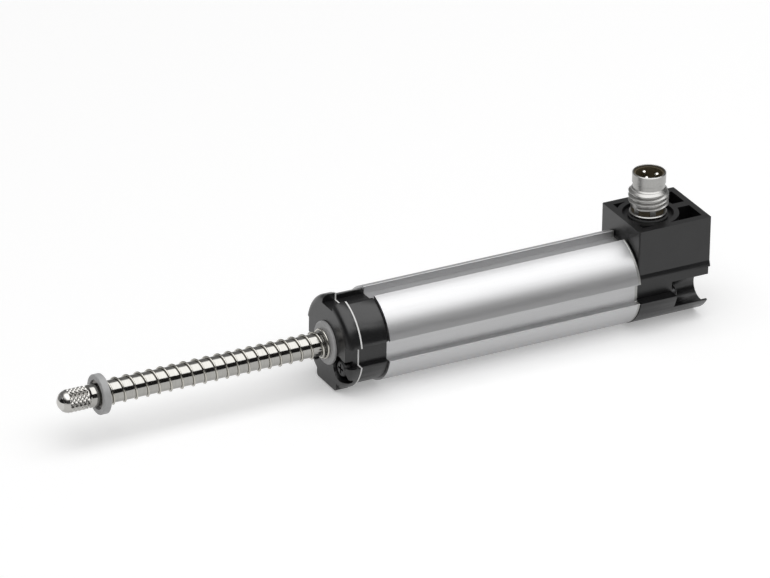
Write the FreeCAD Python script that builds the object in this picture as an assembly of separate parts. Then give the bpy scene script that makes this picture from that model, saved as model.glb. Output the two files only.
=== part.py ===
import FreeCAD, Part
import math
import os

from FreeCAD import Vector

# Spring-return linear potentiometer: a grooved tube closed by a front and a rear moulding,
# with a sprung rod that pushes a wiper along a resistance track.
# X runs along the rod from the tip towards the connector, Z is up, the origin is on the rod's
# axis at the front cover's outer face. All sizes are millimetres.

# Body section
body_radius = 9.35
groove_half_width = 2.1
groove_floor = 7.6
groove_edge_radius = 0.15

# Lengths along the body, from the front
cover_thickness = 2.75
gasket_thickness = 0.3
flange_length = 6.0
tube_length = 54.95
plate_thickness = 0.6
rear_length = 16.4

# How far a cutter runs past what it cuts, and how near two edges count as one place
overshoot = 1.0
same_place = 0.01

# Running and seating clearances
seat_gap = 0.02
bearing_gap = 0.03
guide_gap = 0.05
slide_gap = 0.15
rest_gap = 0.05
screw_gap = 0.1
thread_gap = 0.03

# Front cover and front flange
cover_edge_radius = 1.4
cover_foot_half_width = 4.0
cover_foot_step = 0.5
cover_foot_edge = 0.6
flange_step = 0.45
flange_edge = 0.3
spigot_length = 2.0
spigot_gap = 0.1

# Guide bush in the cover, seal and bearing in the flange
bush_flange_radius = 4.35
bush_flange_thickness = 0.7
bush_neck_radius = 3.4
bush_neck_length = 2.2
bush_edge = 0.25
seal_length = 1.3
bearing_outer_radius = 3.0

# Fixing screws, two at each end
screw_y = 5.3
screw_z = -3.35
screw_shank_radius = 1.0
screw_head_radius = 1.7
screw_head_height = 1.45
screw_head_round = 0.5
screw_slot_width = 0.45
screw_slot_depth = 0.6
screw_slot_share = 0.6
screw_grip = 4.0
cover_pocket_depth = 1.75
cover_pocket_radius = 2.6
cover_pocket_wall = 1.45
cover_pocket_top = -1.0
cover_pocket_bottom = -5.9

# Inside of the tube: a wide upper channel, a narrow lower channel and a slot for the board
channel_half_width = 4.8
channel_step_z = -0.8
channel_low_half_width = 3.3
channel_bottom_z = -4.5
board_z = 4.95
board_thickness = 1.0
board_half_width = 5.6
board_slot_gap = 0.05
board_front_gap = 1.0
board_rear_gap = 1.7
track_thickness = 0.06
track_width = 2.4
track_centre_y = 2.0
track_margin = 1.5

# Rod, with a thinner journal for the wiper carriage
rod_radius = 2.25
rod_nose_x = -50.55
rod_nose_chamfer = 0.3
journal_radius = 1.5
journal_tail = 0.6
journal_chamfer = 0.2
rod_thread_radius = 1.2
rod_thread_depth = 4.4
rod_thread_reserve = 0.3

# Wiper carriage, its clip and its contact springs
carriage_length = 10.0
carriage_top_z = 3.4
carriage_edge = 0.3
clip_thickness = 0.4
clip_outer_radius = 2.6
clip_groove_radius = 1.1
clip_play = 0.05
clip_gap_angle = 80.0
carriage_edge_shortest = 3.0
wiper_sheet = 0.2
wiper_foot_length = 3.0
wiper_finger_width = 0.9
wiper_reach = 4.6
wiper_tip_length = 0.8

# Spring collar near the tip, held by a clip in a groove of the rod
collar_front_x = -49.05
collar_thickness = 1.7
collar_radius = 3.82
collar_edge = 0.2
collar_recess_radius = 2.95
collar_recess_depth = 0.45
collar_clip_radius = 2.8
collar_clip_groove_radius = 1.85

# Tip screwed into the rod, with a ball let into its end
tip_radius = 2.3
tip_length = 5.35
tip_neck_radius = 1.85
tip_neck_length = 0.3
tip_nose_radius = 1.93
tip_nose_length = 1.3
ball_radius = 2.0
ball_proud = 1.55

# Return spring
wire_radius = 0.2
coil_radius = 2.62
closed_turns = 1.0
active_turns = 19.0
closed_pitch = 0.45
sides_per_turn = 16
wire_sides = 6

# Rear housing and its connector block
rear_top_step = 1.15
rear_low_step = 0.1
rear_low_setback = 0.6
rear_edge = 0.2
block_front_gap = 0.2
block_half_width = 7.5
block_top_z = 12.7
block_side_wall = 1.55
block_front_wall = 1.6
block_end_wall = 1.3
block_core_floor_z = 6.6
block_edge_radius = 0.25
block_rib = 1.9
rear_groove_floor = 7.0
lead_room_half_width = 3.4
lead_room_bottom_z = -1.5
lead_room_top_z = 5.3
lead_room_depth = 8.8
rear_screw_seat = 8.2
rear_pocket_radius = 2.75
rear_pocket_top_z = 0.0
rear_pocket_bottom_z = -5.0

# Connector, a metal sleeve with an outer thread round a plastic insert with three pins
connector_setback = 6.1
socket_ring_radius = 6.15
socket_recess_radius = 5.1
socket_recess_z = 11.85
socket_ledge_z = 6.4
socket_throat_radius = 3.0
sleeve_neck_radius = 3.3
sleeve_foot_radius = 3.75
sleeve_foot_z = 12.6
sleeve_waist_z = 13.2
sleeve_waist_radius = 3.45
thread_start_z = 14.4
thread_radius = 4.0
thread_top_z = 18.45
rim_neck_radius = 3.2
rim_start_z = 19.35
rim_radius = 3.35
rim_top_z = 21.56
rim_chamfer = 0.15
sleeve_bore_radius = 3.05
insert_face_z = 16.4
insert_wall = 0.35
insert_rim_setback = 0.4
window_count = 6
window_turn = 47.0
window_width = 2.4
window_bottom_z = 13.25
window_top_z = 14.3
window_overlap = 0.5
lug_setback = 0.1
key_turn = -103.0
key_width = 0.9
key_depth = 0.3
key_bottom_z = 17.5
key_setback = 0.2
pin_radius = 0.5
pin_circle_radius = 1.55
pin_top_z = 21.15
pin_tail_z = 6.0
pin_angles = (100.0, 221.0, 342.0)
seal_wire_radius = 0.35
lead_radius = 0.22
lead_lap = 1.5

# Places along X that follow from the lengths
gasket_x = cover_thickness
flange_x = gasket_x + gasket_thickness
tube_x = flange_x + flange_length
plate_x = tube_x + tube_length
rear_x = plate_x + plate_thickness
flange_radius = body_radius - flange_step
cover_foot_z = cover_foot_step - body_radius
screw_hole_radius = screw_shank_radius + screw_gap
screw_port_radius = screw_shank_radius + thread_gap
rear_top_radius = body_radius - rear_top_step
rear_low_radius = body_radius + rear_low_step
end_x = rear_x + rear_length
block_x = rear_x + block_front_gap
connector_x = block_x + connector_setback
spigot_end_x = tube_x + spigot_length
carriage_x = spigot_end_x + rest_gap
journal_end_x = carriage_x + carriage_length + clip_play + clip_thickness + journal_tail
board_x = spigot_end_x + board_front_gap
board_length = plate_x - board_rear_gap - board_x
board_top_z = board_z + board_thickness
collar_rear_x = collar_front_x + collar_thickness
bush_face_x = -bush_flange_thickness

X_AXIS = Vector(1, 0, 0)
Z_AXIS = Vector(0, 0, 1)


def rod_x(x_from, x_to, radius, y=0.0, z=0.0):
    return Part.makeCylinder(radius, x_to - x_from, Vector(x_from, y, z), X_AXIS)


def rod_z(z_from, z_to, radius, x=0.0, y=0.0):
    return Part.makeCylinder(radius, z_to - z_from, Vector(x, y, z_from), Z_AXIS)


def box(x_from, x_to, y_from, y_to, z_from, z_to):
    return Part.makeBox(x_to - x_from, y_to - y_from, z_to - z_from, Vector(x_from, y_from, z_from))


def prism_x(outline, x_from, x_to):
    """Extrude a (y, z) outline along X."""
    points = [Vector(x_from, y, z) for y, z in outline]
    return Part.Face(Part.makePolygon(points + points[:1])).extrude(Vector(x_to - x_from, 0, 0))


def prism_y(outline, y_from, y_to):
    """Extrude an (x, z) outline along Y."""
    points = [Vector(x, y_from, z) for x, z in outline]
    return Part.Face(Part.makePolygon(points + points[:1])).extrude(Vector(0, y_to - y_from, 0))


def turned_x(outline):
    """Turn an (x, radius) outline round the rod's axis."""
    points = [Vector(x, 0, r) for x, r in outline]
    return Part.Face(Part.makePolygon(points + points[:1])).revolve(Vector(0, 0, 0), X_AXIS, 360)


def turned_z(outline, x=0.0):
    """Turn a (z, radius) outline round an upright axis."""
    points = [Vector(x + r, 0, z) for z, r in outline]
    return Part.Face(Part.makePolygon(points + points[:1])).revolve(Vector(x, 0, 0), Z_AXIS, 360)


def mirrored(shape):
    return shape.mirror(Vector(0, 0, 0), Vector(0, 1, 0))


def both_sides(shape):
    return Part.makeCompound([shape, mirrored(shape)])


def clean(shape):
    return shape.removeSplitter()


def grooves(x_from, x_to, floor, names=("top", "bottom", "left", "right")):
    """The lengthwise grooves, as the material to take away."""
    reach = body_radius + overshoot
    half = groove_half_width
    cutters = {
        "top": (-half, half, floor, reach),
        "bottom": (-half, half, -reach, -floor),
        "left": (-reach, -floor, -half, half),
        "right": (floor, reach, -half, half),
    }
    return [box(x_from, x_to, *cutters[name]) for name in names]


def lengthwise(edge, radius_from, radius_to):
    """True for an edge along X whose middle lies between two distances from the rod's axis."""
    if len(edge.Vertexes) != 2:
        return False
    run = edge.Vertexes[1].Point - edge.Vertexes[0].Point
    middle = edge.valueAt((edge.FirstParameter + edge.LastParameter) / 2.0)
    along = abs(run.x) > 0.99 * run.Length
    return along and radius_from < math.hypot(middle.y, middle.z) < radius_to


def channel(x_from, x_to, gap=0.0):
    """The tube's inner channel, made smaller all round by a gap and without the board's slot."""
    wide = channel_half_width - gap
    low = channel_low_half_width - gap
    top = board_z - board_slot_gap - gap
    step = channel_step_z + gap
    bottom = channel_bottom_z + gap
    outline = [(-wide, top), (-wide, step), (-low, step), (-low, bottom)]
    outline += [(low, bottom), (low, step), (wide, step), (wide, top)]
    return prism_x(outline, x_from, x_to)


def make_cover():
    corner = body_radius - cover_edge_radius
    half_turn = math.pi / 4.0
    centre = Vector(0, 0, 0)
    face_edge = Vector(0, 0, corner)
    side_edge = Vector(cover_edge_radius, 0, body_radius)
    rounding_x = cover_edge_radius * (1.0 - math.cos(half_turn))
    rounding_z = corner + cover_edge_radius * math.sin(half_turn)
    back_edge = Vector(cover_thickness, 0, body_radius)
    back_centre = Vector(cover_thickness, 0, 0)
    outline = Part.Wire([
        Part.makeLine(centre, face_edge),
        Part.Arc(face_edge, Vector(rounding_x, 0, rounding_z), side_edge).toShape(),
        Part.makeLine(side_edge, back_edge),
        Part.makeLine(back_edge, back_centre),
        Part.makeLine(back_centre, centre),
    ])
    cover = Part.Face(outline).revolve(Vector(0, 0, 0), X_AXIS, 360)
    far = 2.0 * body_radius
    below = box(-overshoot, cover_thickness + overshoot, -far, far, -far, cover_foot_z)
    foot = box(0.0, cover_thickness, -cover_foot_half_width, cover_foot_half_width, cover_foot_z, 0.0)
    corners = [edge for edge in foot.Edges if lengthwise(edge, -cover_foot_z, far)]
    cover = cover.cut(below).fuse(foot.makeFillet(cover_foot_edge, corners))
    open_sides = ("top", "left", "right")
    cover = cover.cut(grooves(-overshoot, cover_thickness + overshoot, groove_floor, open_sides))
    cover = cover.cut(rod_x(-overshoot, cover_thickness + overshoot, bush_neck_radius + seat_gap))
    pocket = rod_x(-overshoot, cover_pocket_depth, cover_pocket_radius, -screw_y, screw_z)
    outer_y = body_radius - cover_pocket_wall
    pocket = pocket.fuse(
        box(-overshoot, cover_pocket_depth, -outer_y, -screw_y, cover_pocket_bottom, cover_pocket_top)
    )
    hole = rod_x(-overshoot, cover_thickness + overshoot, screw_hole_radius, -screw_y, screw_z)
    pocket = pocket.fuse(hole)
    return clean(cover.cut([pocket, mirrored(pocket)]))


def make_gasket():
    gasket = rod_x(gasket_x, flange_x, body_radius)
    gasket = gasket.cut(grooves(gasket_x - overshoot, flange_x + overshoot, groove_floor))
    gasket = gasket.cut(rod_x(gasket_x - overshoot, flange_x + overshoot, bush_neck_radius + seat_gap))
    hole = rod_x(gasket_x - overshoot, flange_x + overshoot, screw_hole_radius, -screw_y, screw_z)
    return clean(gasket.cut([hole, mirrored(hole)]))


def make_flange():
    outline = [(flange_x, 0.0), (flange_x, flange_radius), (tube_x - flange_edge, flange_radius)]
    outline += [(tube_x, flange_radius - flange_edge), (tube_x, 0.0)]
    flange = turned_x(outline)
    flange = flange.cut(grooves(flange_x - overshoot, tube_x + overshoot, groove_floor))
    flange = flange.fuse(channel(tube_x, spigot_end_x, spigot_gap))
    bore = rod_x(flange_x - overshoot, spigot_end_x + overshoot, bearing_outer_radius + seat_gap)
    hole = rod_x(flange_x - overshoot, tube_x + overshoot, screw_hole_radius, -screw_y, screw_z)
    return clean(flange.cut([bore, hole, mirrored(hole)]))


def make_bush():
    outline = [(bush_face_x, 0.0), (bush_face_x, bush_flange_radius - bush_edge)]
    outline += [(bush_face_x + bush_edge, bush_flange_radius), (0.0, bush_flange_radius)]
    outline += [(0.0, bush_neck_radius), (bush_neck_length, bush_neck_radius), (bush_neck_length, 0.0)]
    bore = rod_x(bush_face_x - overshoot, bush_neck_length + overshoot, rod_radius + guide_gap)
    return turned_x(outline).cut(bore)


def make_seal():
    end = flange_x + seal_length
    seal = rod_x(flange_x, end, bearing_outer_radius)
    return seal.cut(rod_x(flange_x - overshoot, end + overshoot, rod_radius + guide_gap))


def make_bearing():
    start = flange_x + seal_length + seat_gap
    bearing = rod_x(start, spigot_end_x - seat_gap, bearing_outer_radius)
    return bearing.cut(rod_x(start - overshoot, spigot_end_x + overshoot, rod_radius + bearing_gap))


def make_screw(seat_x, end_x_of_shank, head_side):
    """A screw along X: head_side is -1 where its head is on the tip's side of its seat."""
    low = min(seat_x, end_x_of_shank)
    high = max(seat_x, end_x_of_shank)
    shank = rod_x(low, high, screw_shank_radius, -screw_y, screw_z)
    head = Part.makeCylinder(
        screw_head_radius, screw_head_height, Vector(seat_x, -screw_y, screw_z), Vector(head_side, 0, 0)
    )
    face_x = seat_x + head_side * screw_head_height
    circles = [edge for edge in head.Edges if len(edge.Vertexes) == 1]
    rim = [edge for edge in circles if abs(edge.Vertexes[0].X - face_x) < same_place]
    head = head.makeFillet(screw_head_round, rim)
    deep_x = face_x - head_side * screw_slot_depth
    front = min(deep_x, face_x + head_side)
    back = max(deep_x, face_x + head_side)
    half = screw_slot_width / 2.0
    arm = screw_head_radius * screw_slot_share
    across = box(front, back, -screw_y - arm, -screw_y + arm, screw_z - half, screw_z + half)
    upright = box(front, back, -screw_y - half, -screw_y + half, screw_z - arm, screw_z + arm)
    return clean(shank.fuse(head).cut([across, upright]))


def make_tube():
    tube = rod_x(tube_x, plate_x, body_radius)
    tube = tube.cut(grooves(tube_x - overshoot, plate_x + overshoot, groove_floor))
    near = body_radius - same_place
    far = body_radius + same_place
    mouth = [edge for edge in tube.Edges if lengthwise(edge, near, far)]
    tube = tube.makeFillet(groove_edge_radius, mouth)
    tube = tube.cut(channel(tube_x - overshoot, plate_x + overshoot))
    slot_half = board_half_width + board_slot_gap
    slot = box(
        tube_x - overshoot,
        plate_x + overshoot,
        -slot_half,
        slot_half,
        board_z - board_slot_gap,
        board_top_z + board_slot_gap,
    )
    port = rod_x(tube_x - overshoot, plate_x + overshoot, screw_port_radius, -screw_y, screw_z)
    return clean(tube.cut([slot, port, mirrored(port)]))


def make_board():
    return box(board_x, board_x + board_length, -board_half_width, board_half_width, board_z, board_top_z)


def make_track(centre_y):
    half = track_width / 2.0
    return box(
        board_x + track_margin,
        board_x + board_length - track_margin - lead_lap,
        centre_y - half,
        centre_y + half,
        board_z - track_thickness,
        board_z,
    )


def make_plate():
    plate = rod_x(plate_x, rear_x, body_radius)
    plate = plate.cut(grooves(plate_x - overshoot, rear_x + overshoot, groove_floor))
    window = box(
        plate_x - overshoot,
        rear_x + overshoot,
        -lead_room_half_width,
        lead_room_half_width,
        lead_room_bottom_z,
        lead_room_top_z,
    )
    hole = rod_x(plate_x - overshoot, rear_x + overshoot, screw_hole_radius, -screw_y, screw_z)
    return clean(plate.cut([window, hole, mirrored(hole)]))


def block_cores():
    """The moulding's top pockets, round the socket's ring and beside the rib."""
    half = block_half_width - block_side_wall
    top = block_top_z + overshoot
    cores = box(block_x + block_front_wall, end_x - block_end_wall, -half, half, block_core_floor_z, top)
    ring = rod_z(block_core_floor_z - overshoot, top + overshoot, socket_ring_radius, connector_x)
    low = block_core_floor_z - overshoot
    rib = box(connector_x, end_x, -block_rib / 2.0, block_rib / 2.0, low, top + overshoot)
    return cores.cut([ring, rib])


def make_rear_housing():
    outline = [(rear_x, 0.0), (rear_x, rear_top_radius), (end_x - rear_edge, rear_top_radius)]
    outline += [(end_x, rear_top_radius - rear_edge), (end_x, 0.0)]
    housing = turned_x(outline)
    low_end_x = end_x - rear_low_setback
    low = rod_x(rear_x, low_end_x, rear_low_radius)
    reach = rear_low_radius + overshoot
    low = low.common(box(rear_x, low_end_x, -reach, reach, -reach, 0.0))
    block = box(block_x, end_x, -block_half_width, block_half_width, 0.0, block_top_z)
    uprights = [edge for edge in block.Edges if abs(edge.BoundBox.ZLength - block_top_z) < same_place]
    block = block.makeFillet(block_edge_radius, uprights)
    behind = box(low_end_x, end_x + overshoot, -reach, reach, -reach, -groove_half_width)
    housing = housing.cut(behind).fuse([low, block])
    before_x = rear_x - overshoot
    after_x = end_x + overshoot
    housing = housing.cut(grooves(before_x, after_x, rear_groove_floor, ("left", "right")))
    housing = housing.cut(grooves(before_x, after_x, groove_floor, ("bottom",)))
    housing = housing.cut(block_cores())
    recess = rod_z(socket_recess_z, block_top_z + overshoot, socket_recess_radius, connector_x)
    seat = rod_z(socket_ledge_z, socket_recess_z + overshoot, sleeve_neck_radius + seat_gap, connector_x)
    throat_z = lead_room_top_z - overshoot
    throat = rod_z(throat_z, socket_ledge_z + overshoot, socket_throat_radius, connector_x)
    room = box(
        before_x,
        rear_x + lead_room_depth,
        -lead_room_half_width,
        lead_room_half_width,
        lead_room_bottom_z,
        lead_room_top_z,
    )
    seat_x = rear_x + rear_screw_seat
    pocket = rod_x(seat_x, after_x, rear_pocket_radius, -screw_y, screw_z)
    pocket = pocket.fuse(box(seat_x, after_x, -reach, -screw_y, rear_pocket_bottom_z, rear_pocket_top_z))
    hole = rod_x(before_x, seat_x + overshoot, screw_hole_radius, -screw_y, screw_z)
    housing = housing.cut([recess, seat, throat, room])
    return clean(housing.cut([pocket, mirrored(pocket), hole, mirrored(hole)]))


def pin_places():
    places = []
    for angle in pin_angles:
        turn = math.radians(angle)
        x = connector_x + pin_circle_radius * math.cos(turn)
        places.append((x, pin_circle_radius * math.sin(turn)))
    return places


def turned_block(x_from, x_to, half_width, z_from, z_to, turn):
    """A block beside the connector's axis, turned round that axis from +X."""
    block = box(connector_x + x_from, connector_x + x_to, -half_width, half_width, z_from, z_to)
    block.rotate(Vector(connector_x, 0, 0), Z_AXIS, turn)
    return block


def window_blocks(inner, outer, gap):
    """Blocks round the sleeve, as the windows or as the lugs of the insert that fill them."""
    half = window_width / 2.0 - gap
    return [
        turned_block(
            inner,
            outer,
            half,
            window_bottom_z + gap,
            window_top_z - gap,
            window_turn + 360.0 * number / window_count,
        )
        for number in range(window_count)
    ]


def make_connector_sleeve():
    foot_edge_r = sleeve_foot_radius - rim_chamfer
    thread_edge_r = thread_radius - rim_chamfer
    outline = [(socket_ledge_z, 0.0), (socket_ledge_z, sleeve_neck_radius)]
    outline += [(sleeve_foot_z, sleeve_neck_radius), (sleeve_foot_z, sleeve_foot_radius)]
    outline += [(sleeve_waist_z - rim_chamfer, sleeve_foot_radius), (sleeve_waist_z, foot_edge_r)]
    outline += [(sleeve_waist_z, sleeve_waist_radius), (thread_start_z, sleeve_waist_radius)]
    outline += [(thread_start_z, thread_edge_r), (thread_start_z + rim_chamfer, thread_radius)]
    outline += [(thread_top_z - rim_chamfer, thread_radius), (thread_top_z, thread_edge_r)]
    outline += [(thread_top_z, rim_neck_radius), (rim_start_z, rim_neck_radius)]
    outline += [(rim_start_z, rim_radius), (rim_top_z - rim_chamfer, rim_radius)]
    outline += [(rim_top_z, rim_radius - rim_chamfer), (rim_top_z, 0.0)]
    sleeve = turned_z(outline, connector_x)
    bore = rod_z(socket_ledge_z - overshoot, rim_top_z + overshoot, sleeve_bore_radius, connector_x)
    sleeve = sleeve.cut(bore)
    window_inner = sleeve_bore_radius - window_overlap
    sleeve = sleeve.cut(window_blocks(window_inner, sleeve_foot_radius + overshoot, 0.0))
    key_inner = sleeve_bore_radius - key_depth
    key_top_z = rim_top_z - key_setback
    key = turned_block(key_inner, rim_radius, key_width / 2.0, key_bottom_z, key_top_z, key_turn)
    return clean(sleeve.fuse(key.common(rod_z(0.0, rim_top_z, rim_neck_radius, connector_x))))


def make_connector_insert():
    """A cup in the sleeve's bore, closed at the pins' face, with lugs in the sleeve's windows."""
    body_r = sleeve_bore_radius - seat_gap
    cup_top_z = rim_top_z - insert_rim_setback
    insert = rod_z(socket_ledge_z, cup_top_z, body_r, connector_x)
    insert = insert.cut(rod_z(insert_face_z, cup_top_z + overshoot, body_r - insert_wall, connector_x))
    lugs = window_blocks(body_r - window_overlap, sleeve_waist_radius, seat_gap)
    around = rod_z(socket_ledge_z, cup_top_z, sleeve_waist_radius - lug_setback, connector_x)
    insert = insert.fuse([lug.common(around) for lug in lugs])
    keyway = turned_block(
        body_r - key_depth - overshoot,
        body_r + overshoot,
        key_width / 2.0 + seat_gap,
        key_bottom_z - seat_gap,
        rim_top_z,
        key_turn,
    )
    insert = insert.cut(keyway)
    holes = [
        rod_z(socket_ledge_z - overshoot, insert_face_z + overshoot, pin_radius + seat_gap, x, y)
        for x, y in pin_places()
    ]
    return clean(insert.cut(holes))


def make_pins():
    pins = []
    for x, y in pin_places():
        pin = rod_z(pin_tail_z, pin_top_z - pin_radius, pin_radius, x, y)
        pins.append(pin.fuse(Part.makeSphere(pin_radius, Vector(x, y, pin_top_z - pin_radius))))
    return Part.makeCompound([clean(pin) for pin in pins])


def make_seal_ring():
    centre = Vector(connector_x, 0, socket_recess_z + seal_wire_radius)
    ring_radius = sleeve_neck_radius + seal_wire_radius
    return Part.makeTorus(ring_radius, seal_wire_radius, centre, Z_AXIS)


def make_leads():
    """A lead from the board's underside to the tail of each pin, turned up on a round bend."""
    leads = []
    run_z = board_z - lead_radius
    bend = pin_tail_z - run_z
    start_x = board_x + board_length - lead_lap
    half_turned = math.sin(math.pi / 4.0)
    for x, y in pin_places():
        bend_x = x - bend
        path = Part.Wire([
            Part.makeLine(Vector(start_x, y, run_z), Vector(bend_x, y, run_z)),
            Part.Arc(
                Vector(bend_x, y, run_z),
                Vector(bend_x + bend * half_turned, y, run_z + bend * (1.0 - half_turned)),
                Vector(x, y, pin_tail_z),
            ).toShape(),
        ])
        section = Part.Wire(Part.makeCircle(lead_radius, Vector(start_x, y, run_z), X_AXIS))
        leads.append(path.makePipeShell([section], True, True))
    return Part.makeCompound(leads)


def make_carriage():
    carriage = channel(carriage_x, carriage_x + carriage_length, slide_gap)
    above = box(
        carriage_x - overshoot,
        carriage_x + carriage_length + overshoot,
        -channel_half_width,
        channel_half_width,
        carriage_top_z,
        board_z + overshoot,
    )
    end = carriage_x + carriage_length
    bore = rod_x(carriage_x - overshoot, end + overshoot, journal_radius + seat_gap)
    carriage = carriage.cut([above, bore])
    across = [edge for edge in carriage.Edges if abs(edge.BoundBox.XLength) < same_place]
    uprights = [edge for edge in across if edge.Length > carriage_edge_shortest]
    return clean(carriage.makeChamfer(carriage_edge, uprights))


def make_wiper():
    """A sheet foot on the carriage with two sprung fingers that reach up to the tracks."""
    foot_x = carriage_x + carriage_length / 2.0
    foot_top = carriage_top_z + wiper_sheet
    contact_z = board_z - track_thickness - rest_gap
    bend_x = foot_x + wiper_foot_length / 2.0
    reach_x = bend_x + wiper_reach - wiper_tip_length
    finger = [
        (bend_x - wiper_sheet, carriage_top_z),
        (bend_x, carriage_top_z),
        (reach_x, contact_z - wiper_sheet),
        (reach_x + wiper_tip_length, contact_z - 2.0 * wiper_sheet),
        (reach_x + wiper_tip_length, contact_z - wiper_sheet),
        (reach_x, contact_z),
        (bend_x - wiper_sheet, foot_top),
    ]
    reach = track_centre_y + wiper_finger_width
    wiper = box(foot_x - wiper_foot_length / 2.0, bend_x, -reach, reach, carriage_top_z, foot_top)
    for side in (-1.0, 1.0):
        middle = side * track_centre_y
        half = wiper_finger_width / 2.0
        wiper = wiper.fuse(prism_y(finger, middle - half, middle + half))
    return clean(wiper)


def make_snap_ring(x_from, thickness, inner, outer):
    """A sprung ring with a gap, seated in a turned groove."""
    ring = rod_x(x_from, x_from + thickness, outer)
    ring = ring.cut(rod_x(x_from - overshoot, x_from + thickness + overshoot, inner + seat_gap))
    half = math.radians(clip_gap_angle / 2.0)
    far = 2.0 * outer
    mouth = [(0.0, 0.0), (far * math.sin(half), -far * math.cos(half))]
    mouth.append((-far * math.sin(half), -far * math.cos(half)))
    return clean(ring.cut(prism_x(mouth, x_from - overshoot, x_from + thickness + overshoot)))


def make_rod():
    nose = rod_nose_x
    clip_x = carriage_x + carriage_length + clip_play
    collar_clip_x = collar_front_x
    outline = [(nose, 0.0), (nose, rod_radius - rod_nose_chamfer), (nose + rod_nose_chamfer, rod_radius)]
    outline += [(collar_clip_x, rod_radius), (collar_clip_x, collar_clip_groove_radius)]
    outline += [
        (collar_clip_x + collar_recess_depth, collar_clip_groove_radius),
        (collar_clip_x + collar_recess_depth, rod_radius),
    ]
    outline += [(carriage_x, rod_radius), (carriage_x, journal_radius), (clip_x, journal_radius)]
    outline += [(clip_x, clip_groove_radius), (clip_x + clip_thickness, clip_groove_radius)]
    outline += [(clip_x + clip_thickness, journal_radius)]
    outline += [(journal_end_x - journal_chamfer, journal_radius)]
    outline += [(journal_end_x, journal_radius - journal_chamfer), (journal_end_x, 0.0)]
    hole_end_x = nose + rod_thread_depth + rod_thread_reserve
    thread_hole = rod_x(nose - overshoot, hole_end_x, rod_thread_radius + thread_gap)
    return turned_x(outline).cut(thread_hole)


def make_collar():
    outline = [(collar_front_x, 0.0), (collar_front_x, collar_radius - collar_edge)]
    outline += [(collar_front_x + collar_edge, collar_radius)]
    outline += [(collar_rear_x - collar_edge, collar_radius)]
    outline += [(collar_rear_x, collar_radius - collar_edge), (collar_rear_x, 0.0)]
    collar = turned_x(outline)
    recess_end_x = collar_front_x + collar_recess_depth
    collar = collar.cut(rod_x(collar_front_x - overshoot, recess_end_x, collar_recess_radius))
    return collar.cut(rod_x(collar_front_x - overshoot, collar_rear_x + overshoot, rod_radius + seat_gap))


def make_tip():
    rear = rod_nose_x
    front = rear - tip_length
    ball_x = front - ball_proud + ball_radius
    outline = [(front, 0.0), (front, tip_nose_radius), (front + tip_nose_length, tip_radius)]
    outline += [(rear - tip_neck_length, tip_radius), (rear - tip_neck_length, tip_neck_radius)]
    outline += [(rear, tip_neck_radius), (rear, rod_thread_radius)]
    outline += [(rear + rod_thread_depth, rod_thread_radius), (rear + rod_thread_depth, 0.0)]
    socket = Part.makeSphere(ball_radius + seat_gap, Vector(ball_x, 0, 0))
    return turned_x(outline).cut(socket)


def make_ball():
    ball_x = rod_nose_x - tip_length - ball_proud + ball_radius
    return Part.makeSphere(ball_radius, Vector(ball_x, 0, 0))


def spring_x(turn, front, rear):
    """Distance along the rod after a number of turns, closed up at both ends."""
    total = 2.0 * closed_turns + active_turns
    closed_length = closed_turns * closed_pitch
    open_pitch = (rear - front - 2.0 * closed_length) / active_turns
    if turn < closed_turns:
        return front + turn * closed_pitch
    if turn > total - closed_turns:
        return rear - (total - turn) * closed_pitch
    return front + closed_length + (turn - closed_turns) * open_pitch


def make_spring():
    front = collar_rear_x + wire_radius + seat_gap
    rear = bush_face_x - wire_radius - seat_gap
    steps = int(round((2.0 * closed_turns + active_turns) * sides_per_turn))
    points = []
    for step in range(steps + 1):
        turn = step / sides_per_turn
        angle = 2.0 * math.pi * turn
        x = spring_x(turn, front, rear)
        points.append(Vector(x, coil_radius * math.sin(angle), coil_radius * math.cos(angle)))
    path = Part.makePolygon(points)
    along = (points[1] - points[0]).normalize()
    outward = Vector(0, points[0].y, points[0].z).normalize()
    across = along.cross(outward)
    section = []
    for side in range(wire_sides):
        angle = 2.0 * math.pi * side / wire_sides
        offset = outward * (wire_radius * math.cos(angle)) + across * (wire_radius * math.sin(angle))
        section.append(points[0] + offset)
    pipe = Part.BRepOffsetAPI.MakePipeShell(path)
    pipe.setTransitionMode(1)
    pipe.add(Part.makePolygon(section + section[:1]))
    pipe.build()
    pipe.makeSolid()
    return pipe.shape()


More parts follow.
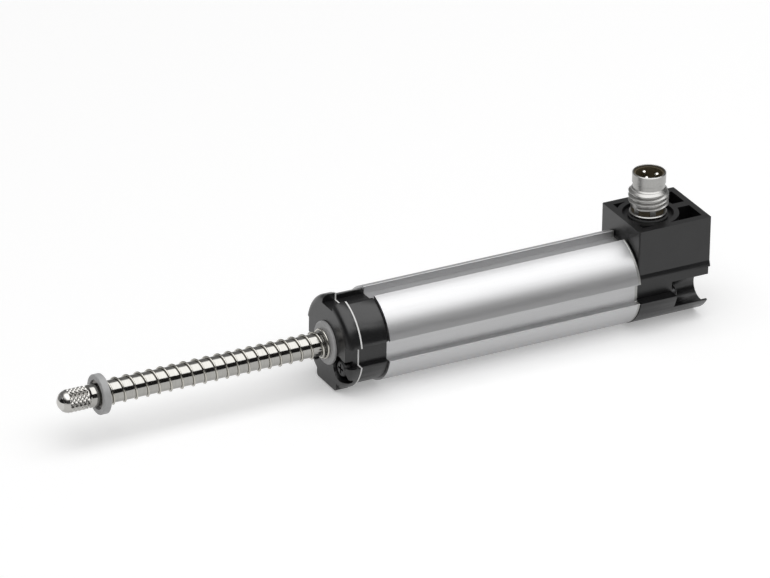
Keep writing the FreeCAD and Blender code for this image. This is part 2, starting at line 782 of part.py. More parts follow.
def main():
    os.makedirs("parts", exist_ok=True)
    rear_seat_x = rear_x + rear_screw_seat
    cover_screw = make_screw(cover_pocket_depth, tube_x + screw_grip, -1)
    rear_screw = make_screw(rear_seat_x, plate_x - screw_grip, 1)
    carriage_clip_x = carriage_x + carriage_length + clip_play
    collar_clip_thickness = collar_recess_depth - 2.0 * seat_gap
    nodes = {
        "front_cover": make_cover(),
        "front_gasket": make_gasket(),
        "front_flange": make_flange(),
        "guide_bush": make_bush(),
        "rod_seal": make_seal(),
        "front_bearing": make_bearing(),
        "cover_screws": both_sides(cover_screw),
        "housing_tube": make_tube(),
        "element_board": make_board(),
        "resistor_track": make_track(-track_centre_y),
        "collector_track": make_track(track_centre_y),
        "rear_plate": make_plate(),
        "rear_housing": make_rear_housing(),
        "rear_screws": both_sides(rear_screw),
        "connector_sleeve": make_connector_sleeve(),
        "connector_insert": make_connector_insert(),
        "connector_pins": make_pins(),
        "connector_seal": make_seal_ring(),
        "board_leads": make_leads(),
        "rod": make_rod(),
        "wiper_carriage": make_carriage(),
        "wiper_contacts": make_wiper(),
        "carriage_clip": make_snap_ring(
            carriage_clip_x, clip_thickness, clip_groove_radius, clip_outer_radius
        ),
        "spring_collar": make_collar(),
        "collar_clip": make_snap_ring(
            collar_front_x + seat_gap, collar_clip_thickness, collar_clip_groove_radius, collar_clip_radius
        ),
        "knurled_tip": make_tip(),
        "tip_ball": make_ball(),
        "return_spring": make_spring(),
    }
    for name, shape in nodes.items():
        sound = shape.Solids and all(solid.isValid() and solid.Volume > 0 for solid in shape.Solids)
        print(name, len(shape.Solids), round(shape.Volume, 3), "" if sound else "bad")
        shape.exportStep("parts/" + name + ".step")


main()
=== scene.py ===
import math

import bmesh
import bpy
from mathutils import Matrix, Quaternion, Vector


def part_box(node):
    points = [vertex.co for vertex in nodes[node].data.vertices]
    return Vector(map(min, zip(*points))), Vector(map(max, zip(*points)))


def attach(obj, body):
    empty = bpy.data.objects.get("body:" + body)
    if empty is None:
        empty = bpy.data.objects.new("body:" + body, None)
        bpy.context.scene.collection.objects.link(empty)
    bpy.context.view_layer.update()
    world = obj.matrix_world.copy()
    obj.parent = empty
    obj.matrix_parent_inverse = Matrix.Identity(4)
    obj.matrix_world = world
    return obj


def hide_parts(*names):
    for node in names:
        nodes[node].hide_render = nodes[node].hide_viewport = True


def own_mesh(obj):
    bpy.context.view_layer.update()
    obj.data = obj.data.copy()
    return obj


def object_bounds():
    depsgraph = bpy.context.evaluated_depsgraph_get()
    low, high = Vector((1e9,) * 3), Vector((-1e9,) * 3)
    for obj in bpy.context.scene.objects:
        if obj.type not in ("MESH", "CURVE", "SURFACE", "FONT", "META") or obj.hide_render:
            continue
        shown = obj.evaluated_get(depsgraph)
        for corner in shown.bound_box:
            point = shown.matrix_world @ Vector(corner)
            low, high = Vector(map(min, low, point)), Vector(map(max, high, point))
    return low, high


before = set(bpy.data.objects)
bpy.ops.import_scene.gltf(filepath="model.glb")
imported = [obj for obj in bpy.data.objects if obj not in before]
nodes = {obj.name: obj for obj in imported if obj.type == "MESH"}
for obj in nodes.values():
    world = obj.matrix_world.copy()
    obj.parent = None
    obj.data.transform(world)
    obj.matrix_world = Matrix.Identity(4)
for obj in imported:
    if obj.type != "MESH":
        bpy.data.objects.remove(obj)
cad_box = [list(corner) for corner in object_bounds()]

# Grooved tube.
# An extruded aluminium body with one groove along each side, sawn to length and anodised
# to a fine satin. The die leaves faint lines along its whole length.

pattern_low = 0.3
pattern_high = 0.7
weld_distance = 0.000001


def finish_of(name, colour, metallic, roughness):
    """A new material with its Principled shader, its even values on the shader's own sockets."""
    material = bpy.data.materials.new(name)
    material.use_nodes = True
    shader = material.node_tree.nodes["Principled BSDF"]
    shader.inputs["Base Color"].default_value = (*colour, 1.0)
    shader.inputs["Metallic"].default_value = metallic
    shader.inputs["Roughness"].default_value = roughness
    return material, shader


def grain(material, scale, stretch=(1.0, 1.0, 1.0), detail=3.0):
    """A noise over the piece in Object coordinates. The scale is in cells to the metre."""
    made = material.node_tree.nodes
    links = material.node_tree.links
    place = made.new("ShaderNodeTexCoord")
    mapping = made.new("ShaderNodeMapping")
    mapping.inputs["Scale"].default_value = stretch
    noise = made.new("ShaderNodeTexNoise")
    noise.inputs["Scale"].default_value = scale
    noise.inputs["Detail"].default_value = detail
    links.new(place.outputs["Object"], mapping.inputs["Vector"])
    links.new(mapping.outputs["Vector"], noise.inputs["Vector"])
    return noise.outputs["Fac"]


def between(material, factor, low, high, socket):
    """A number that runs from low to high with a pattern, on one of the shader's sockets."""
    scaled = material.node_tree.nodes.new("ShaderNodeMapRange")
    scaled.inputs["From Min"].default_value = pattern_low
    scaled.inputs["From Max"].default_value = pattern_high
    scaled.inputs["To Min"].default_value = low
    scaled.inputs["To Max"].default_value = high
    material.node_tree.links.new(factor, scaled.inputs["Value"])
    material.node_tree.links.new(scaled.outputs["Result"], socket)


def tinted(material, factor, low, high, socket):
    """A colour that runs from low to high with a pattern, on the shader's base colour."""
    ramp = material.node_tree.nodes.new("ShaderNodeValToRGB")
    ramp.color_ramp.elements[0].position = pattern_low
    ramp.color_ramp.elements[0].color = (*low, 1.0)
    ramp.color_ramp.elements[1].position = pattern_high
    ramp.color_ramp.elements[1].color = (*high, 1.0)
    material.node_tree.links.new(factor, ramp.inputs["Fac"])
    material.node_tree.links.new(ramp.outputs["Color"], socket)


def raised(material, factor, height, shader):
    """Bump of a given height in metres from a pattern."""
    bump = material.node_tree.nodes.new("ShaderNodeBump")
    bump.inputs["Strength"].default_value = 1.0
    bump.inputs["Distance"].default_value = height
    material.node_tree.links.new(factor, bump.inputs["Height"])
    material.node_tree.links.new(bump.outputs["Normal"], shader.inputs["Normal"])


def coat(piece, material):
    piece.data.materials.clear()
    piece.data.materials.append(material)


anodised, shader = finish_of("anodised_aluminium", (0.525, 0.525, 0.53), 1.0, 0.46)
die_lines = grain(anodised, 9000.0, stretch=(0.01, 1.0, 1.0))
speckle = grain(anodised, 14000.0)
between(anodised, die_lines, 0.42, 0.50, shader.inputs["Roughness"])
tinted(anodised, speckle, (0.50, 0.50, 0.505), (0.55, 0.55, 0.555), shader.inputs["Base Color"])
raised(anodised, die_lines, 0.000002, shader)
coat(nodes["housing_tube"], anodised)

# Black mouldings.
# Front cover, front flange and rear housing are injection moulded in a glass-filled black
# plastic, finely grained by the mould, with edges that aren't quite sharp.


def rounded_edges(piece, width, segments=2, angle=30.0):
    """Joins a CAD node's loose triangles and rounds its edges, as modifiers on the node."""
    weld = piece.modifiers.new("joined", "WELD")
    weld.merge_threshold = weld_distance
    bevel = piece.modifiers.new("rounded", "BEVEL")
    bevel.width = width
    bevel.segments = segments
    bevel.limit_method = "ANGLE"
    bevel.angle_limit = math.radians(angle)
    bevel.harden_normals = True


moulding, shader = finish_of("black_moulding", (0.008, 0.008, 0.0084), 0.0, 0.3)
shader.inputs["Specular IOR Level"].default_value = 0.54
mould_grain = grain(moulding, 6000.0)
cloud = grain(moulding, 300.0)
tinted(moulding, cloud, (0.0065, 0.0065, 0.0069), (0.0095, 0.0095, 0.0099), shader.inputs["Base Color"])
between(moulding, mould_grain, 0.27, 0.35, shader.inputs["Roughness"])
raised(moulding, mould_grain, 0.000008, shader)
for name in ("front_cover", "front_flange", "rear_housing"):
    coat(nodes[name], moulding)
    rounded_edges(nodes[name], 0.00016)

# Sheets between the body's parts.
# A plain white sheet is clamped between the cover and the flange, die cut to the body's
# section. A thin pale plate closes the tube at the rear.

white_sheet, shader = finish_of("white_sheet", (0.80, 0.80, 0.79), 0.0, 0.6)
fibres = grain(white_sheet, 5000.0)
tinted(white_sheet, fibres, (0.76, 0.76, 0.75), (0.84, 0.84, 0.83), shader.inputs["Base Color"])
raised(white_sheet, fibres, 0.000008, shader)
coat(nodes["front_gasket"], white_sheet)

pale_plate, shader = finish_of("pale_plate", (0.4, 0.4, 0.39), 0.9, 0.45)
rolled = grain(pale_plate, 4000.0, stretch=(1.0, 0.1, 1.0))
between(pale_plate, rolled, 0.4, 0.5, shader.inputs["Roughness"])
coat(nodes["rear_plate"], pale_plate)
rounded_edges(nodes["rear_plate"], 0.00018)

# Guide bush.
# Turned from grey bearing plastic and pressed into the front cover, where the spring seats
# on its flange.

grey_plastic, shader = finish_of("grey_plastic", (0.42, 0.42, 0.42), 0.0, 0.42)
turning = grain(grey_plastic, 9000.0, stretch=(1.0, 0.15, 0.15))
tinted(grey_plastic, turning, (0.39, 0.39, 0.39), (0.45, 0.45, 0.45), shader.inputs["Base Color"])
between(grey_plastic, turning, 0.38, 0.48, shader.inputs["Roughness"])
raised(grey_plastic, turning, 0.000004, shader)
coat(nodes["guide_bush"], grey_plastic)
rounded_edges(nodes["guide_bush"], 0.00008)

# Rod seal.
# A moulded rubber ring with a dull skin, held behind the bush.

rubber, shader = finish_of("seal_rubber", (0.02, 0.02, 0.02), 0.0, 0.7)
skin = grain(rubber, 5000.0)
between(rubber, skin, 0.62, 0.8, shader.inputs["Roughness"])
raised(rubber, skin, 0.00001, shader)
for name in ("rod_seal", "connector_seal"):
    coat(nodes[name], rubber)

# Front bearing.
# A pressed and sintered bronze sleeve, soaked with oil, pushed into the flange.

bronze, shader = finish_of("bearing_bronze", (0.45, 0.28, 0.12), 0.85, 0.45)
pores = grain(bronze, 12000.0)
tinted(bronze, pores, (0.34, 0.20, 0.08), (0.52, 0.34, 0.16), shader.inputs["Base Color"])
raised(bronze, pores, 0.000008, shader)
coat(nodes["front_bearing"], bronze)

# Screws.
# Small cross-slotted screws in black oxide steel, two through the cover and two from the rear.

black_oxide, shader = finish_of("black_oxide", (0.06, 0.06, 0.062), 1.0, 0.38)
oxide = grain(black_oxide, 5000.0)
tinted(black_oxide, oxide, (0.045, 0.045, 0.048), (0.085, 0.085, 0.085), shader.inputs["Base Color"])
between(black_oxide, oxide, 0.32, 0.48, shader.inputs["Roughness"])
for name in ("cover_screws", "rear_screws"):
    coat(nodes[name], black_oxide)

# Element board and its tracks.
# A strip of brown laminate, printed with a carbon resistance track and a silver collector.

laminate, shader = finish_of("board_laminate", (0.30, 0.19, 0.07), 0.0, 0.5)
weave = grain(laminate, 1800.0)
tinted(laminate, weave, (0.26, 0.16, 0.055), (0.34, 0.22, 0.09), shader.inputs["Base Color"])
raised(laminate, weave, 0.00001, shader)
coat(nodes["element_board"], laminate)

carbon_ink, shader = finish_of("carbon_ink", (0.02, 0.02, 0.02), 0.0, 0.35)
between(carbon_ink, grain(carbon_ink, 4000.0), 0.3, 0.45, shader.inputs["Roughness"])
coat(nodes["resistor_track"], carbon_ink)

silver_ink, shader = finish_of("silver_ink", (0.62, 0.60, 0.55), 0.9, 0.4)
between(silver_ink, grain(silver_ink, 4000.0), 0.35, 0.5, shader.inputs["Roughness"])
coat(nodes["collector_track"], silver_ink)

# Wiper carriage and its contact springs.
# A moulded pale slider on the rod's journal, with gilded spring fingers staked on top.

carriage_plastic, shader = finish_of("carriage_plastic", (0.55, 0.53, 0.46), 0.0, 0.45)
raised(carriage_plastic, grain(carriage_plastic, 5000.0), 0.000008, shader)
coat(nodes["wiper_carriage"], carriage_plastic)
rounded_edges(nodes["wiper_carriage"], 0.00008)

gilding, shader = finish_of("contact_gold", (0.83, 0.60, 0.24), 1.0, 0.25)
between(gilding, grain(gilding, 6000.0), 0.2, 0.32, shader.inputs["Roughness"])
coat(nodes["wiper_contacts"], gilding)

# Leads from the board to the contacts.
# Three tinned copper wires, soldered under the board and to the pins' tails.

tinned, shader = finish_of("tinned_lead", (0.62, 0.61, 0.58), 1.0, 0.35)
between(tinned, grain(tinned, 6000.0), 0.3, 0.42, shader.inputs["Roughness"])
coat(nodes["board_leads"], tinned)

# Knurled tip and its ball.
# A turned steel tip that screws into the rod. Two crossed sets of rolled grooves give it a
# diamond knurl, and its rounded nose is closed over a polished ball.

ball_low, ball_high = (Vector(corner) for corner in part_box("tip_ball"))
tip_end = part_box("knurled_tip")[1][0]
tip_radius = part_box("knurled_tip")[1][2]
rod_nose = -0.0513
neck_length = 0.0003
neck_radius = 0.00185
spigot_radius = 0.0012
nose = (
    (-0.05565, 0.00217),
    (-0.05605, 0.00208),
    (-0.05636, 0.00192),
    (-0.05658, 0.00174),
    (-0.0567, 0.00162),
    (-0.0567, 0.00159),
)
socket_gap = 0.00002
socket_from = 54.0
socket_step = 13.0
socket_steps = 10
knurl_count = 16
knurl_depth = 0.00024
knurl_start = -0.0555
knurl_end = rod_nose - neck_length
knurl_rows = 9
tip_shading = 25.0
lathe_steps = 96
lathe_shading = 30.0
rod_axis = (1.0, 0.0, 0.0)
rod_centre = (0.0, 0.0, 0.0)


def link(name, sketch, material, body):
    """Puts a finished bmesh into the scene as a piece that rides on a body."""
    bmesh.ops.recalc_face_normals(sketch, faces=sketch.faces)
    mesh = bpy.data.meshes.new(name)
    sketch.to_mesh(mesh)
    sketch.free()
    piece = bpy.data.objects.new(name, mesh)
    bpy.context.scene.collection.objects.link(piece)
    mesh.materials.append(material)
    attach(piece, body)
    return piece


def turned(sketch, profile, centre, axis, steps):
    """A closed profile of points, spun once round an axis."""
    verts = [sketch.verts.new(point) for point in profile]
    edges = [sketch.edges.new((verts[i - 1], verts[i])) for i in range(len(verts))]
    bmesh.ops.spin(
        sketch,
        geom=verts + edges,
        cent=centre,
        axis=axis,
        dvec=(0.0, 0.0, 0.0),
        angle=2.0 * math.pi,
        steps=steps,
        use_merge=True,
    )
    bmesh.ops.remove_doubles(sketch, verts=sketch.verts, dist=0.0000005)


def smoothed(piece, angle):
    """Smooth shading with sharp edges where faces meet at more than an angle."""
    piece.data.set_sharp_from_angle(angle=math.radians(angle))
    for polygon in piece.data.polygons:
        polygon.use_smooth = True


def stepped(sketch, edges, stations):
    """Extrudes a ring of edges through (x, radius) stations and returns its last edges."""
    for x, radius in stations:
        grown = bmesh.ops.extrude_edge_only(sketch, edges=edges)["geom"]
        edges = [item for item in grown if isinstance(item, bmesh.types.BMEdge)]
        for vert in (item for item in grown if isinstance(item, bmesh.types.BMVert)):
            outward = Vector((0.0, vert.co.y, vert.co.z)).normalized()
            vert.co = Vector((x, 0.0, 0.0)) + outward * radius
    return edges


sketch = bmesh.new()
around = 2 * knurl_count
ring = bmesh.ops.create_circle(sketch, cap_ends=False, segments=around, radius=tip_radius)["verts"]
upright = Matrix.Rotation(math.pi / 2.0, 4, "Y")
bmesh.ops.transform(sketch, matrix=Matrix.Translation((knurl_start, 0.0, 0.0)) @ upright, verts=ring)
edges = list(sketch.edges)
row_step = (knurl_end - knurl_start) / knurl_rows
for row in range(knurl_rows):
    grown = bmesh.ops.extrude_edge_only(sketch, edges=edges)["geom"]
    moved = [item for item in grown if isinstance(item, bmesh.types.BMVert)]
    edges = [item for item in grown if isinstance(item, bmesh.types.BMEdge)]
    bmesh.ops.translate(sketch, vec=(row_step, 0.0, 0.0), verts=moved)
for vert in sketch.verts:
    row = round((vert.co.x - knurl_start) / row_step)
    column = round(math.atan2(vert.co.y, vert.co.z) / math.pi * knurl_count)
    if (row + column) % 2:
        inner = 1.0 - knurl_depth / tip_radius
        vert.co = Vector((vert.co.x, vert.co.y * inner, vert.co.z * inner))
bmesh.ops.triangulate(sketch, faces=sketch.faces, quad_method="SHORT_EDGE")
ends = [edge for edge in sketch.edges if edge.is_boundary]
front_ring = [edge for edge in ends if edge.verts[0].co.x < knurl_start + row_step / 2.0]
rear_ring = [edge for edge in ends if edge not in front_ring]
front_ring = stepped(sketch, front_ring, nose)
ball_centre = (ball_low.x + ball_high.x) / 2.0
socket_radius = ball_high.z + socket_gap
for step in range(socket_steps):
    angle = math.radians(socket_from + socket_step * step)
    place = (ball_centre - socket_radius * math.cos(angle), socket_radius * math.sin(angle))
    front_ring = stepped(sketch, front_ring, (place,))
neck = (
    (knurl_end + 0.00002, neck_radius),
    (rod_nose, neck_radius),
    (rod_nose, spigot_radius),
    (tip_end, spigot_radius),
)
rear_ring = stepped(sketch, rear_ring, neck)
bmesh.ops.contextual_create(sketch, geom=front_ring)
bmesh.ops.contextual_create(sketch, geom=rear_ring)
rolled_steel, shader = finish_of("rolled_steel", (0.46, 0.45, 0.43), 1.0, 0.2)
rolling = grain(rolled_steel, 6000.0)
between(rolled_steel, rolling, 0.16, 0.26, shader.inputs["Roughness"])
tinted(rolled_steel, rolling, (0.42, 0.41, 0.39), (0.50, 0.49, 0.47), shader.inputs["Base Color"])
tip = link("knurled_tip_turned", sketch, rolled_steel, "plunger")
smoothed(tip, tip_shading)
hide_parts("knurled_tip")

ball_steel, shader = finish_of("ball_steel", (0.55, 0.54, 0.52), 1.0, 0.06)
between(ball_steel, grain(ball_steel, 3000.0), 0.05, 0.1, shader.inputs["Roughness"])
coat(nodes["tip_ball"], ball_steel)

# Rod and its clips.
# One bright ground steel rod from the tip to the carriage, with a chamfered nose, a groove
# for each snap ring and a thinner journal. The snap rings are spring steel.

journal_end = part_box("rod")[1][0]
rod_radius = 0.00225
rod_chamfer = 0.0003
collar_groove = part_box("spring_collar")[0][0]
collar_groove_end = collar_groove + 0.00045
collar_groove_radius = 0.00185
journal_start = 0.0111
journal_radius = 0.0015
journal_chamfer = 0.0002
carriage_groove = 0.02115
carriage_groove_end = carriage_groove + 0.0004
carriage_groove_radius = 0.0011
tapped_radius = spigot_radius + 0.00003
tapped_end = tip_end + 0.0003
stations = (
    (rod_nose, tapped_radius),
    (rod_nose, rod_radius - rod_chamfer),
    (rod_nose + rod_chamfer, rod_radius),
    (collar_groove, rod_radius),
    (collar_groove, collar_groove_radius),
    (collar_groove_end, collar_groove_radius),
    (collar_groove_end, rod_radius),
    (journal_start, rod_radius),
    (journal_start, journal_radius),
    (carriage_groove, journal_radius),
    (carriage_groove, carriage_groove_radius),
    (carriage_groove_end, carriage_groove_radius),
    (carriage_groove_end, journal_radius),
    (journal_end - journal_chamfer, journal_radius),
    (journal_end, journal_radius - journal_chamfer),
    (journal_end, 0.0),
    (tapped_end, 0.0),
    (tapped_end, tapped_radius),
)
sketch = bmesh.new()
turned(sketch, [(x, 0.0, radius) for x, radius in stations], rod_centre, rod_axis, lathe_steps)
ground_steel, shader = finish_of("ground_steel", (0.38, 0.373, 0.354), 1.0, 0.12)
grinding = grain(ground_steel, 9000.0, stretch=(1.0, 0.02, 0.02))
between(ground_steel, grinding, 0.09, 0.15, shader.inputs["Roughness"])
tinted(ground_steel, grinding, (0.35, 0.343, 0.324), (0.41, 0.403, 0.384), shader.inputs["Base Color"])
rod = link("rod_turned", sketch, ground_steel, "plunger")
smoothed(rod, lathe_shading)
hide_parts("rod")

blued_steel, shader = finish_of("clip_steel", (0.16, 0.15, 0.14), 1.0, 0.3)
between(blued_steel, grain(blued_steel, 6000.0), 0.25, 0.4, shader.inputs["Roughness"])
for name in ("carriage_clip", "collar_clip"):
    coat(nodes[name], blued_steel)

# Spring collar.
# Turned from the same grey plastic as the bush. Its dished front face hides the snap ring
# that holds it on the rod.

collar_back = -0.0478
collar_length = 0.00155
collar_radius = 0.00396
running_gap = 0.00001
dish_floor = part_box("collar_clip")[1][0] + running_gap
dish_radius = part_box("collar_clip")[1][2] + 0.0001
collar_bore = rod_radius + running_gap
break_edge = 0.00014
collar_front = collar_back - collar_length
stations = (
    (collar_front, dish_radius + break_edge / 2.0),
    (collar_front, collar_radius - break_edge),
    (collar_front + break_edge, collar_radius),
    (collar_back - break_edge, collar_radius),
    (collar_back, collar_radius - break_edge),
    (collar_back, collar_bore),
    (dish_floor, collar_bore),
    (dish_floor, dish_radius),
    (collar_front + break_edge / 2.0, dish_radius),
)
sketch = bmesh.new()
turned(sketch, [(x, 0.0, radius) for x, radius in stations], rod_centre, rod_axis, lathe_steps)
collar = link("spring_collar_turned", sketch, grey_plastic, "plunger")
smoothed(collar, lathe_shading)
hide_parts("spring_collar")

# Return spring.
# Coiled from hard-drawn spring wire on a mandrel, with closed ends that seat on the collar
# and on the bush, where the last turn is a little wider. The real spring shortens as the rod
# goes in; here it is drawn at one length, on a mesh of its own.

spring_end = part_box("return_spring")[1][0]
wire_radius = 0.000185
coil_radius = 0.00245
closed_turns = 1.0
closed_pitch = 0.00045
first_turns = 9.881
first_pitch = 0.00243
last_turns = 9.573
steps_to_turn = 40
wire_segments = 12
wire_shading = 60.0
start_turn = math.radians(18.4)
flare = 0.00055
flare_from = spring_end - 0.0015
front_seat = collar_back + wire_radius + running_gap
open_length = spring_end - wire_radius - front_seat - 2.0 * closed_turns * closed_pitch
last_pitch = (open_length - first_turns * first_pitch) / last_turns
coils = (
    (closed_turns, closed_pitch),
    (first_turns, first_pitch),
    (last_turns, last_pitch),
    (closed_turns, closed_pitch),
)
sketch = bmesh.new()
wire = bmesh.ops.create_circle(sketch, cap_ends=True, segments=wire_segments, radius=wire_radius)["verts"]
across = Matrix.Rotation(math.pi / 2.0, 4, "X")
place = Matrix.Translation((front_seat, 0.0, coil_radius))
facing = Matrix.Rotation(start_turn, 4, "X")
bmesh.ops.transform(sketch, matrix=facing @ place @ across, verts=wire)
geometry = list(sketch.verts) + list(sketch.edges) + list(sketch.faces)
for turns, pitch in coils:
    steps = round(turns * steps_to_turn)
    spun = bmesh.ops.spin(
        sketch,
        geom=geometry,
        cent=rod_centre,
        axis=rod_axis,
        dvec=(turns * pitch / steps, 0.0, 0.0),
        angle=2.0 * math.pi * turns,
        steps=steps,
    )
    geometry = spun["geom_last"]
for vert in sketch.verts:
    share = (vert.co.x - flare_from) / (spring_end - flare_from)
    if share > 0.0:
        vert.co += Vector((0.0, vert.co.y, vert.co.z)).normalized() * flare * share
spring_steel, shader = finish_of("spring_wire", (0.50, 0.485, 0.445), 1.0, 0.2)
drawn = grain(spring_steel, 5000.0)
between(spring_steel, drawn, 0.16, 0.28, shader.inputs["Roughness"])
tinted(spring_steel, drawn, (0.45, 0.435, 0.395), (0.55, 0.535, 0.495), shader.inputs["Base Color"])
spring = link("return_spring_coiled", sketch, spring_steel, "housing")
smoothed(spring, wire_shading)
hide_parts("return_spring")
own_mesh(spring)

# Connector sleeve.
# Turned from brass and nickel plated, with a rolled M8 x 1 thread and windows in its foot
# where lugs of the contact carrier snap in.

sleeve_low, sleeve_high = (Vector(corner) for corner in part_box("connector_sleeve"))
connector_x = (sleeve_low.x + sleeve_high.x) / 2.0
sleeve_bore = 0.00305
sleeve_neck = 0.0033
foot_radius = 0.00375
foot_low = 0.0126
foot_top = 0.0132
window_low = 0.01325
window_high = 0.0143
thread_root = 0.00345
thread_end = 0.0182
groove_radius = 0.0032
groove_low = 0.01845
rim_low = 0.01935
rim_radius = 0.00335
lip = 0.00015
window_count = 6
window_share = 0.65
window_turn = math.radians(47.0)
sleeve_steps = 72
axis_z = (0.0, 0.0, 1.0)
sleeve_centre = (connector_x, 0.0, 0.0)
stations = (
    (sleeve_low.z, sleeve_bore),
    (sleeve_low.z, sleeve_neck),
    (foot_low, sleeve_neck),
    (foot_low, foot_radius - lip),
    (foot_low + lip, foot_radius),
    (foot_top - lip, foot_radius),
    (foot_top, foot_radius - lip),
    (foot_top, thread_root),
    (window_low, thread_root),
    (window_high, thread_root),
    (thread_end, thread_root),
    (groove_low, groove_radius),
    (rim_low, groove_radius),
    (rim_low, rim_radius - lip / 2.0),
    (rim_low + lip / 2.0, rim_radius),
    (sleeve_high.z - lip, rim_radius),
    (sleeve_high.z, rim_radius - lip),
    (sleeve_high.z, sleeve_bore + lip / 3.0),
    (sleeve_high.z - lip / 3.0, sleeve_bore),
    (window_high, sleeve_bore),
    (window_low, sleeve_bore),
)
sketch = bmesh.new()
turned(
    sketch,
    [(connector_x + radius, 0.0, height) for height, radius in stations],
    sleeve_centre,
    axis_z,
    sleeve_steps,
)
facing = Matrix.Rotation(window_turn, 3, "Z")
bmesh.ops.rotate(sketch, verts=sketch.verts, cent=sleeve_centre, matrix=facing)
span = 2.0 * math.pi / window_count
holes = [[] for number in range(window_count)]
for face in sketch.faces:
    middle = face.calc_center_median()
    if not window_low < middle.z < window_high:
        continue
    turn = (math.atan2(middle.y, middle.x - connector_x) - window_turn + span / 2.0) % (2.0 * math.pi)
    if abs(turn % span - span / 2.0) < span * window_share / 2.0:
        holes[int(turn // span)].append(face)
for faces in holes:
    rim_edges = [edge for face in faces for edge in face.edges]
    rim_edges = [edge for edge in rim_edges if sum(other in faces for other in edge.link_faces) == 1]
    bmesh.ops.delete(sketch, geom=faces, context="FACES_ONLY")
    bmesh.ops.bridge_loops(sketch, edges=rim_edges)
bmesh.ops.delete(sketch, geom=[edge for edge in sketch.edges if not edge.link_faces], context="EDGES")

nickel, shader = finish_of("nickel_plate", (0.39, 0.387, 0.376), 1.0, 0.32)
plating = grain(nickel, 4000.0)
between(nickel, plating, 0.28, 0.38, shader.inputs["Roughness"])
tinted(nickel, plating, (0.36, 0.357, 0.346), (0.42, 0.417, 0.406), shader.inputs["Base Color"])
sleeve = link("connector_sleeve_turned", sketch, nickel, "housing")
smoothed(sleeve, lathe_shading)
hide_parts("connector_sleeve")

thread_radius = 0.004
thread_pitch = 0.001
half_root = 0.00046
half_crest = 0.00006
thread_start = 0.0146
thread_turns = 3.4
thread_turn = math.radians(-153.6)
chamfer_from = 0.0176
sunk = 0.0001
profile = (
    (thread_root - sunk, -half_root),
    (thread_radius, -half_crest),
    (thread_radius, half_crest),
    (thread_root - sunk, half_root),
)
sketch = bmesh.new()
verts = [sketch.verts.new((connector_x + radius, 0.0, thread_start + rise)) for radius, rise in profile]
face = sketch.faces.new(verts)
bmesh.ops.spin(
    sketch,
    geom=[face] + list(face.edges) + verts,
    cent=sleeve_centre,
    axis=axis_z,
    dvec=(0.0, 0.0, thread_pitch / sleeve_steps),
    angle=2.0 * math.pi * thread_turns,
    steps=round(thread_turns * sleeve_steps),
)
for vert in sketch.verts:
    outward = Vector((vert.co.x - connector_x, vert.co.y, 0.0))
    allowed = thread_radius - max(0.0, vert.co.z - chamfer_from)
    if outward.length > allowed:
        outward *= allowed / outward.length
        vert.co = Vector((connector_x, 0.0, vert.co.z)) + outward
facing = Matrix.Rotation(thread_turn, 3, "Z")
bmesh.ops.rotate(sketch, verts=sketch.verts, cent=sleeve_centre, matrix=facing)
thread = link("connector_thread", sketch, nickel, "housing")
smoothed(thread, lathe_shading)

key_turn = math.radians(-103.0)
key_low = 0.0175
key_high = sleeve_high.z - 0.00003
key_centre = 0.00292
key_radius = 0.0005
key_segments = 20
key_depth = 0.55
sketch = bmesh.new()
key_face = bmesh.ops.create_circle(sketch, cap_ends=True, segments=key_segments, radius=key_radius)["verts"]
bmesh.ops.scale(sketch, vec=(key_depth, 1.0, 1.0), verts=key_face)
bmesh.ops.translate(sketch, vec=(connector_x + key_centre, 0.0, key_low), verts=key_face)
grown = bmesh.ops.extrude_face_region(sketch, geom=list(sketch.faces))["geom"]
moved = [item for item in grown if isinstance(item, bmesh.types.BMVert)]
bmesh.ops.translate(sketch, vec=(0.0, 0.0, key_high - key_low), verts=moved)
top_edges = [item for item in grown if isinstance(item, bmesh.types.BMEdge)]
bmesh.ops.bevel(
    sketch,
    geom=top_edges,
    offset=0.00024,
    segments=4,
    profile=0.5,
    material=-1,
    affect="EDGES",
    clamp_overlap=True,
)
facing = Matrix.Rotation(key_turn, 3, "Z")
bmesh.ops.rotate(sketch, verts=sketch.verts, cent=sleeve_centre, matrix=facing)
key = link("connector_key", sketch, nickel, "housing")

# Contact carrier and pins.
# The carrier is a dark moulded insert. Its three round-nosed pins have a pale bright plating.

carrier, shader = finish_of("carrier_plastic", (0.085, 0.068, 0.04), 0.0, 0.4)
cast = grain(carrier, 4000.0)
tinted(carrier, cast, (0.07, 0.056, 0.032), (0.10, 0.08, 0.048), shader.inputs["Base Color"])
raised(carrier, cast, 0.000008, shader)
coat(nodes["connector_insert"], carrier)
pin_plating, shader = finish_of("pin_plating", (0.82, 0.80, 0.74), 1.0, 0.2)
between(pin_plating, grain(pin_plating, 6000.0), 0.16, 0.26, shader.inputs["Roughness"])
coat(nodes["connector_pins"], pin_plating)

# Floor.
# A plain pale table that the object rests on. It keeps the object's shadow and runs out
# to plain white further away.

floor_level = cad_box[0][2]
floor_size = 6.0
floor_glow = 0.31
white_from = 0.4
white_to = 1.6
sketch = bmesh.new()
bmesh.ops.create_grid(sketch, x_segments=1, y_segments=1, size=floor_size)
bmesh.ops.translate(sketch, verts=sketch.verts, vec=(0.0, 0.0, floor_level))
floor_mesh = bpy.data.meshes.new("floor")
sketch.to_mesh(floor_mesh)
sketch.free()
floor = bpy.data.objects.new("floor", floor_mesh)
bpy.context.scene.collection.objects.link(floor)
paper, shader = finish_of("paper", (0.8, 0.8, 0.8), 0.0, 1.0)


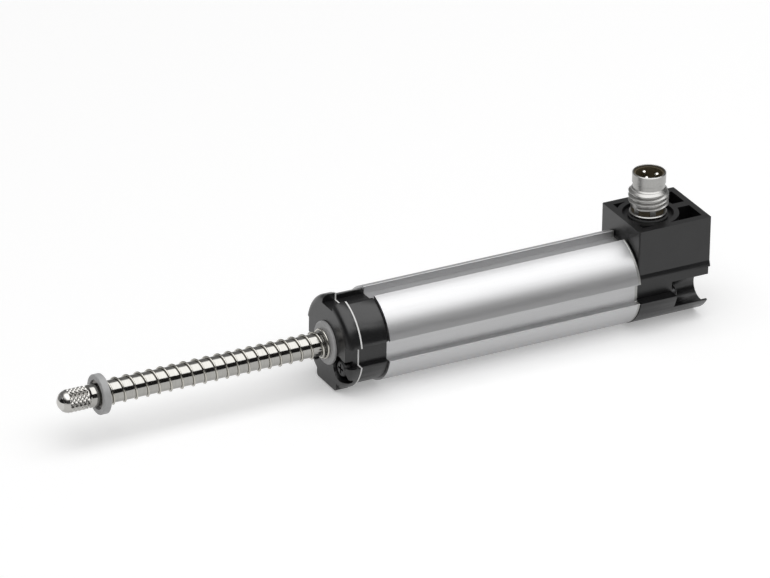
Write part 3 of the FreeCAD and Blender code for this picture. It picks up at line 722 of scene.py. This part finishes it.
def seen_directly(made, links):
    """A factor of 1 for camera, glossy and transmission rays, and 0 for the light itself."""
    path = made.new("ShaderNodeLightPath")
    first = made.new("ShaderNodeMath")
    first.operation = "ADD"
    second = made.new("ShaderNodeMath")
    second.operation = "ADD"
    second.use_clamp = True
    links.new(path.outputs["Is Camera Ray"], first.inputs[0])
    links.new(path.outputs["Is Glossy Ray"], first.inputs[1])
    links.new(first.outputs[0], second.inputs[0])
    links.new(path.outputs["Is Transmission Ray"], second.inputs[1])
    return second.outputs[0]


made = paper.node_tree.nodes
links = paper.node_tree.links
glow = made.new("ShaderNodeMath")
glow.operation = "MULTIPLY"
glow.inputs[1].default_value = floor_glow
links.new(seen_directly(made, links), glow.inputs[0])
place = made.new("ShaderNodeTexCoord")
away = made.new("ShaderNodeVectorMath")
away.operation = "LENGTH"
links.new(place.outputs["Object"], away.inputs[0])
fade = made.new("ShaderNodeMapRange")
fade.interpolation_type = "SMOOTHSTEP"
fade.inputs["From Min"].default_value = white_from
fade.inputs["From Max"].default_value = white_to
links.new(away.outputs["Value"], fade.inputs["Value"])
path = made.new("ShaderNodeLightPath")
far_glow = made.new("ShaderNodeMath")
far_glow.operation = "MULTIPLY_ADD"
links.new(fade.outputs["Result"], far_glow.inputs[0])
links.new(path.outputs["Is Camera Ray"], far_glow.inputs[1])
links.new(glow.outputs[0], far_glow.inputs[2])
shader.inputs["Emission Color"].default_value = (1.0, 1.0, 1.0, 1.0)
links.new(far_glow.outputs[0], shader.inputs["Emission Strength"])
floor_mesh.materials.append(paper)

# World.
# Even white air: soft fill for the light, plain white where it is seen.

world = bpy.data.worlds.new("studio")
bpy.context.scene.world = world
world.use_nodes = True
made = world.node_tree.nodes
links = world.node_tree.links
background = made["Background"]
world_fill = 0.25
level = made.new("ShaderNodeMapRange")
level.inputs["To Min"].default_value = world_fill
level.inputs["To Max"].default_value = 1.0
links.new(seen_directly(made, links), level.inputs["Value"])
links.new(level.outputs["Result"], background.inputs["Strength"])
background.inputs["Color"].default_value = (1.0, 1.0, 1.0, 1.0)

# Softbox and cards.
# One large softbox overhead, a black card on the near side and a grey one behind, as a
# photographer sets them to shape the reflections in metal.

lamp = bpy.data.lights.new("softbox", "AREA")
lamp.shape = "RECTANGLE"
lamp.size = 2.4
lamp.size_y = 1.9
lamp.energy = 20.0
softbox = bpy.data.objects.new("softbox", lamp)
bpy.context.scene.collection.objects.link(softbox)
softbox.location = (0.3, -0.42, 1.2)
softbox.visible_camera = False


def card(name, radius, turn_from, turn_to, rise_from, rise_to, brightness):
    """A curved card round the object that only reflections see."""
    sketch = bmesh.new()
    turn = math.radians(turn_from)
    across = Vector((math.cos(turn), math.sin(turn), 0.0)) * radius
    low = sketch.verts.new(across + Vector((0.0, 0.0, radius * math.tan(math.radians(rise_from)))))
    high = sketch.verts.new(across + Vector((0.0, 0.0, radius * math.tan(math.radians(rise_to)))))
    edge = sketch.edges.new((low, high))
    bmesh.ops.spin(
        sketch,
        geom=[low, high, edge],
        cent=(0.0, 0.0, 0.0),
        axis=(0.0, 0.0, 1.0),
        dvec=(0.0, 0.0, 0.0),
        angle=math.radians(turn_to - turn_from),
        steps=48,
    )
    mesh = bpy.data.meshes.new(name)
    sketch.to_mesh(mesh)
    sketch.free()
    piece = bpy.data.objects.new(name, mesh)
    bpy.context.scene.collection.objects.link(piece)
    material, shader = finish_of(name, (0.0, 0.0, 0.0), 0.0, 1.0)
    shader.inputs["Specular IOR Level"].default_value = 0.0
    shader.inputs["Emission Color"].default_value = (1.0, 1.0, 1.0, 1.0)
    shader.inputs["Emission Strength"].default_value = brightness
    mesh.materials.append(material)
    piece.visible_camera = False
    piece.visible_diffuse = False
    piece.visible_transmission = False
    piece.visible_shadow = False


card("black_card", 1.6, -200.0, 20.0, -0.5, 38.0, 0.02)
card("grey_card", 1.7, 20.0, 160.0, -0.5, 52.0, 0.27)

# Camera.
# A long lens from the front left and above, at the angle of the photograph.

yaw = math.radians(27.589)
elevation = math.radians(27.132)
roll = math.radians(0.8247)
distance = 1.3122
target = Vector((0.012115, -0.000859, 0.009193))
shift = Vector((0.0003, 0.0, 0.0))
camera_data = bpy.data.cameras.new("camera")
camera_data.sensor_width = 36.0
camera_data.lens = 317.92
camera = bpy.data.objects.new("camera", camera_data)
bpy.context.scene.collection.objects.link(camera)
level_part = math.cos(elevation)
back = Vector((-math.sin(yaw) * level_part, -math.cos(yaw) * level_part, math.sin(elevation)))
camera.location = back * distance + shift
camera.rotation_mode = "QUATERNION"
aim = (target - camera.location).to_track_quat("-Z", "Y")
camera.rotation_quaternion = aim @ Quaternion((0.0, 0.0, 1.0), roll)
bpy.context.scene.camera = camera
bpy.context.scene.view_settings.view_transform = "Standard"
